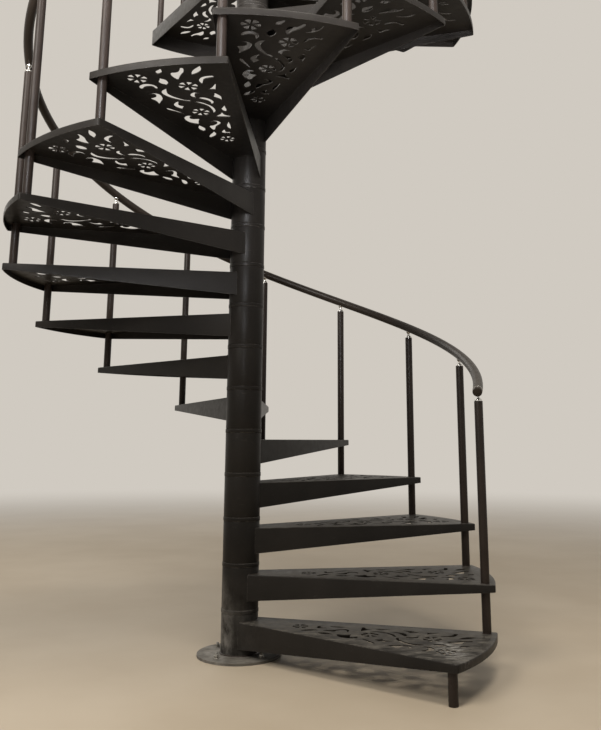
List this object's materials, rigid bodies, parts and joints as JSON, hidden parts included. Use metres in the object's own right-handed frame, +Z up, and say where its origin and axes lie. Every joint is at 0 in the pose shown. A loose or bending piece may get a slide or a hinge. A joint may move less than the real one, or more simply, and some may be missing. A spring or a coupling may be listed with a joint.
{
  "type": "spiral staircase",
  "caption": "Steel spiral staircase with a round column, folded treads with a cut flower pattern, round balusters, a helical handrail and a quarter landing.",
  "frame": {"origin": "the column's axis at floor level, at the centre of the floor plate's underside", "axes": "+Z up along the column, +X and +Y level, with the first tread's front corner post 44.5 degrees clockwise from +X seen from above"},
  "size_m": [2.2958, 2.296, 4.639],
  "materials": {
    "tread_paint": "satin",
    "column_paint": "satin",
    "post_paint": "satin",
    "rail_paint": "gloss",
    "bright_fitting": "polished"
  },
  "bodies": {
    "root": {"baluster_02": "post_paint", "baluster_03": "post_paint", "baluster_04": "post_paint", "baluster_05": "post_paint", "baluster_06": "post_paint", "baluster_07": "post_paint", "baluster_08": "post_paint", "baluster_09": "post_paint", "baluster_10": "post_paint", "baluster_11": "post_paint", "baluster_12": "post_paint", "baluster_13": "post_paint", "baluster_14": "post_paint", "baluster_15": "post_paint", "baluster_16": "post_paint", "baluster_17": "post_paint", "baluster_18": "post_paint", "base_plate": "column_paint", "foot_post": "post_paint", "guard_posts": "post_paint", "guard_rail": "rail_paint", "handrail_lower": "rail_paint", "handrail_middle": "rail_paint", "handrail_upper": "rail_paint", "hub_sleeves_even": "column_paint", "hub_sleeves_odd": "column_paint", "landing": "tread_paint", "newel_post": "column_paint", "rail_pins": "bright_fitting", "tread_01": "tread_paint", "tread_02": "tread_paint", "tread_03": "tread_paint", "tread_04": "tread_paint", "tread_05": "tread_paint", "tread_06": "tread_paint", "tread_07": "tread_paint", "tread_08": "tread_paint", "tread_09": "tread_paint", "tread_10": "tread_paint", "tread_11": "tread_paint", "tread_12": "tread_paint", "tread_13": "tread_paint", "tread_14": "tread_paint", "tread_15": "tread_paint", "tread_16": "tread_paint", "tread_17": "tread_paint"}
  },
  "joints": []
}
